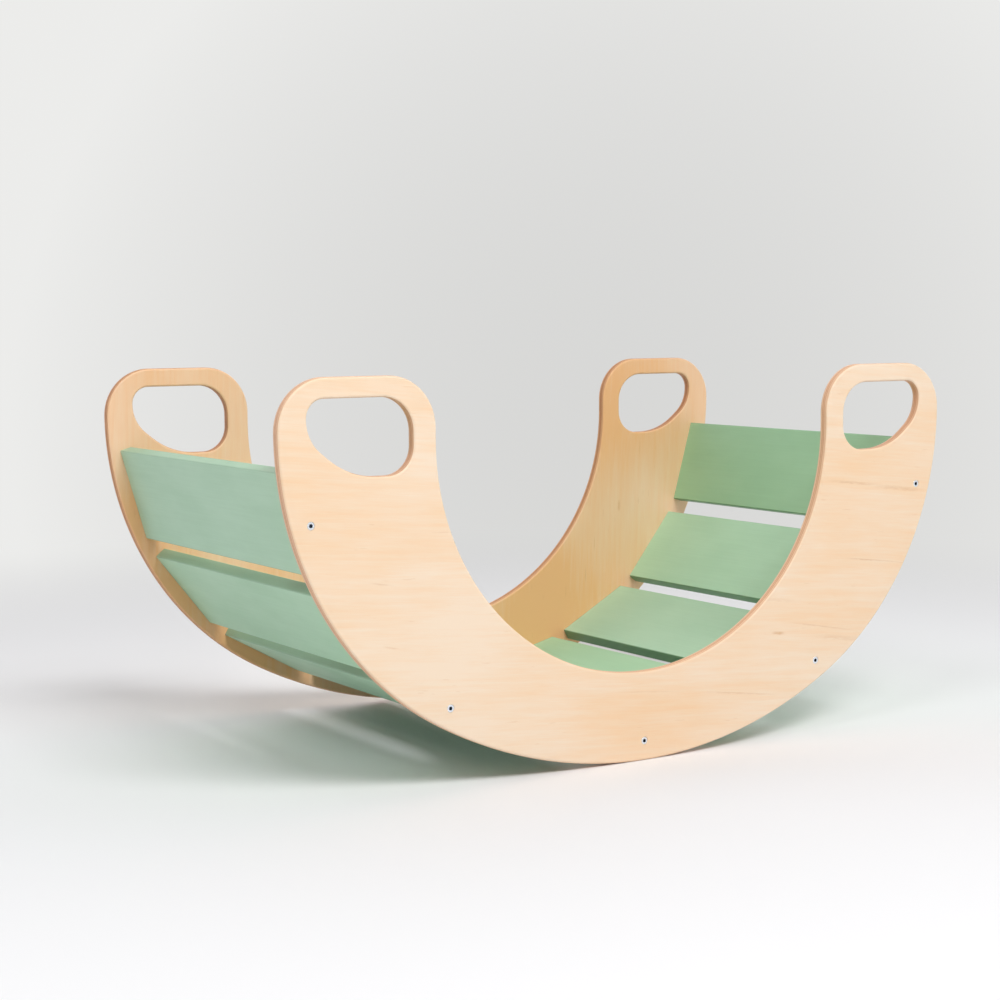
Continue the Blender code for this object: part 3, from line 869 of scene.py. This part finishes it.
def screws_tree(sizes, blank):
    """A screw on each point, its shank pointing to the middle of the rocker."""
    tree, given, made = new_tree("Screws on points", sizes)
    screw = add_node(tree, "GeometryNodeObjectInfo", {"Object": blank}).outputs["Geometry"]
    position = add_node(tree, "GeometryNodeInputPosition").outputs[0]
    side = calc(tree, "SIGN", axes_of(tree, position)[1])
    spin = add_node(
        tree,
        "FunctionNodeRandomValue",
        {"Max": math.tau / SOCKET_SIDES, "Seed": given.outputs["Socket seed"]},
        data_type="FLOAT",
    )
    tilt = vector_of(tree, x=calc(tree, "MULTIPLY", side, -math.pi / 2))
    turn = vector_of(tree, z=spin.outputs["Value"])
    turned = add_node(tree, "FunctionNodeEulerToRotation", {0: turn})
    tilted = add_node(tree, "FunctionNodeEulerToRotation", {0: tilt})
    both = add_node(
        tree,
        "FunctionNodeRotateRotation",
        {0: tilted.outputs[0], 1: turned.outputs[0]},
        rotation_space="LOCAL",
    )
    screws = add_node(
        tree,
        "GeometryNodeInstanceOnPoints",
        {"Points": given.outputs["Geometry"], "Instance": screw, "Rotation": both.outputs[0]},
    )
    screws = add_node(tree, "GeometryNodeRealizeInstances", {"Geometry": screws.outputs[0]})
    plated = {"Geometry": screws.outputs[0], "Material": blank.data.materials[0]}
    screws = add_node(tree, "GeometryNodeSetMaterial", plated)
    tree.links.new(screws.outputs[0], made.inputs[0])
    return tree


def zinc_plate():
    """Bright zinc, with a near black painted shade in the socket."""
    material, tree, shader = new_material("zinc_plate")
    place = add_node(tree, "ShaderNodeTexCoord").outputs["Object"]
    spangle = noise(tree, place, *ZINC_NOISE)
    colour = blend(tree, spangle, ZINC_DULL, ZINC_BRIGHT)
    y = axes_of(tree, place)[1]
    depth = calc(tree, "SUBTRACT", back_high.y, calc(tree, "ABSOLUTE", y))
    begun, not_over = (ramp(tree, depth, *reach) for reach in (SOCKET_STARTS, SOCKET_ENDS))
    # Painted shade: the walls and floor of the socket turned near black.
    colour = blend(tree, calc(tree, "MULTIPLY", begun, not_over), colour, SOCKET_PAINTED_SHADE)
    tree.links.new(colour, shader.inputs["Base Color"])
    tree.links.new(ramp(tree, spangle, 0.3, 0.7, *ZINC_ROUGHNESS), shader.inputs["Roughness"])
    shader.inputs["Metallic"].default_value = 1.0
    return material


screw_sizes = {"Socket seed": SOCKET_SEED}
blank = add_piece("screw_blank", screw_mesh(zinc_plate()))
heads = bpy.data.meshes.new("screw_places")
heads.from_pydata([screw_head_place(node)[0] for node in SCREW_NODES], [], [])
places = add_piece("screw_places", heads)
screws = add_piece("shown_screws", made_by(screws_tree(screw_sizes, blank), places, screw_sizes))
bpy.data.objects.remove(blank, do_unlink=True)
bpy.data.objects.remove(holes, do_unlink=True)
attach(screws, "root")
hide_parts(*SCREW_NODES)

# Dowels: bare turned beech pins, two blind in each joint of slat and panel. They are out of sight
# once the rocker is together, so the frame's own solids stay and only take their wood.
BEECH = (0.62, 0.42, 0.26, 1)
BEECH_RAY = (0.42, 0.24, 0.13, 1)
RAY_NOISE = ((900, 120, 900), 2)
RAY_LEVELS = (0.55, 0.7)
RAY_STRENGTH = 0.5
BEECH_ROUGHNESS = (0.62, 0.72)


def beech():
    material, tree, shader = new_material("turned_beech")
    place = add_node(tree, "ShaderNodeTexCoord").outputs["Object"]
    rays = ramp(tree, noise(tree, place, *RAY_NOISE), *RAY_LEVELS)
    colour = blend(tree, calc(tree, "MULTIPLY", rays, RAY_STRENGTH), BEECH, BEECH_RAY)
    tree.links.new(colour, shader.inputs["Base Color"])
    tree.links.new(ramp(tree, rays, 0.0, 1.0, *BEECH_ROUGHNESS), shader.inputs["Roughness"])
    return material


dowel_wood = beech()
for node in DOWEL_NODES:
    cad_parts[node].data.materials.clear()
    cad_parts[node].data.materials.append(dowel_wood)

# Studio: a pale floor that melts into the backdrop, with no line between them, lit by a large soft
# lamp in front and above, a fainter one on the left, and a white room behind and on the right.
FLOOR_RADIUS = 6.0
FLOOR_STEPS = 96
FADE_START = 0.9
FADE_END = 2.2
PAPER = (0.864, 0.862, 0.876, 1)
PAPER_ROUGHNESS = 0.9
PAPER_SHINE = 0.1
BACKDROP = (1.0, 1.0, 0.985, 1)
BACKDROP_DARKEST = 0.687
BACKDROP_BRIGHTEST = 0.84
BACKDROP_RISE = 3.4
BACKDROP_LEAN = -0.155
BACKDROP_MIDDLE = Vector((0.546, 0.835, -0.058))
BACKDROP_SIDE = Vector((0.837, -0.547, 0.0))
BACKDROP_FROM = (-1.29, -1.96, 0.50)
ROOM_FROM_BACK = 2.15
ROOM_FROM_RIGHT = 1.4


def seen_directly(tree):
    """1 where the camera or a reflection sees the surface, 0 where it only lights other things."""
    path = add_node(tree, "ShaderNodeLightPath").outputs
    seen = calc(tree, "MAXIMUM", path["Is Camera Ray"], path["Is Glossy Ray"])
    return calc(tree, "MAXIMUM", seen, path["Is Transmission Ray"])


def backdrop_tone(tree, direction):
    """Darkest straight behind the rocker, brighter all round, and a little more to the left."""
    to_middle, to_side = (
        add_node(tree, "ShaderNodeVectorMath", {0: direction, 1: way}, operation="DOT_PRODUCT")
        for way in (BACKDROP_MIDDLE, BACKDROP_SIDE)
    )
    away = calc(tree, "SUBTRACT", 1.0, to_middle.outputs["Value"])
    tone = calc(tree, "MULTIPLY_ADD", away, BACKDROP_RISE, BACKDROP_DARKEST)
    tone = calc(tree, "MULTIPLY_ADD", to_side.outputs["Value"], BACKDROP_LEAN, tone)
    return calc(tree, "MINIMUM", tone, BACKDROP_BRIGHTEST)


def floor_paper():
    """Matt paper that keeps the shadow, and far out takes the backdrop's own tone."""
    material, tree, shader = new_material("floor_paper")
    shader.inputs["Base Color"].default_value = PAPER
    shader.inputs["Roughness"].default_value = PAPER_ROUGHNESS
    shader.inputs["Specular IOR Level"].default_value = PAPER_SHINE
    place = add_node(tree, "ShaderNodeTexCoord").outputs["Object"]
    reach = add_node(tree, "ShaderNodeVectorMath", {0: place}, operation="LENGTH").outputs["Value"]
    fade = calc(tree, "MULTIPLY", ramp(tree, reach, FADE_START, FADE_END), seen_directly(tree))
    out = add_node(tree, "ShaderNodeVectorMath", {0: place, 1: BACKDROP_FROM}, operation="SUBTRACT")
    out = add_node(tree, "ShaderNodeVectorMath", {0: out.outputs[0]}, operation="NORMALIZE")
    tone = backdrop_tone(tree, out.outputs[0])
    far = add_node(tree, "ShaderNodeEmission", {"Color": BACKDROP, "Strength": tone})
    both = add_node(tree, "ShaderNodeMixShader", {0: fade, 1: shader.outputs[0], 2: far.outputs[0]})
    tree.links.new(both.outputs[0], tree.nodes["Material Output"].inputs["Surface"])
    return material


bm = bmesh.new()
bmesh.ops.create_circle(bm, cap_ends=True, segments=FLOOR_STEPS, radius=FLOOR_RADIUS)
floor_mesh = bpy.data.meshes.new("floor")
bm.to_mesh(floor_mesh)
bm.free()
floor_mesh.materials.append(floor_paper())
add_piece("floor", floor_mesh)

room = bpy.data.worlds.new("white_room")
room.use_nodes = True
tree = room.node_tree
direction = add_node(tree, "ShaderNodeTexCoord").outputs["Generated"]
axes = axes_of(tree, direction)
from_right = calc(tree, "POWER", calc(tree, "MAXIMUM", axes["X"], 0.0), 2.0)
from_back = calc(tree, "POWER", calc(tree, "MAXIMUM", axes["Y"], 0.0), 2.0)
strength = calc(tree, "MULTIPLY", from_back, ROOM_FROM_BACK)
strength = calc(tree, "MULTIPLY_ADD", from_right, ROOM_FROM_RIGHT, strength)
light = tree.nodes["Background"]
light.inputs["Color"].default_value = (1, 1, 1, 1)
tree.links.new(strength, light.inputs["Strength"])
tone = backdrop_tone(tree, direction)
wall = add_node(tree, "ShaderNodeBackground", {"Color": BACKDROP, "Strength": tone})
seen = seen_directly(tree)
both = add_node(tree, "ShaderNodeMixShader", {0: seen, 1: light.outputs[0], 2: wall.outputs[0]})
tree.links.new(both.outputs[0], tree.nodes["World Output"].inputs["Surface"])
bpy.context.scene.world = room

LAMP_DISTANCE = 5.0
LAMP_AIM_HEIGHT = 0.1


def soft_lamp(name, azimuth, elevation, size, power):
    """A soft box aimed at the rocker; azimuth 0 is straight in front, positive to the right."""
    turn, rise = math.radians(azimuth), math.radians(elevation)
    level = math.cos(rise)
    away = Vector((math.sin(turn) * level, -math.cos(turn) * level, math.sin(rise)))
    light = bpy.data.lights.new(name, "AREA")
    light.shape = "RECTANGLE"
    light.size, light.size_y = size
    light.energy = power
    lamp = bpy.data.objects.new(name, light)
    lamp.location = away * LAMP_DISTANCE + Vector((0, 0, LAMP_AIM_HEIGHT))
    lamp.rotation_euler = (-away).to_track_quat("-Z", "Y").to_euler()
    bpy.context.scene.collection.objects.link(lamp)


soft_lamp("key", azimuth=-5, elevation=49, size=(2.8, 1.5), power=156)
soft_lamp("left_fill", azimuth=-60, elevation=48, size=(1.6, 1.6), power=43)

bpy.context.scene.view_settings.view_transform = "Standard"
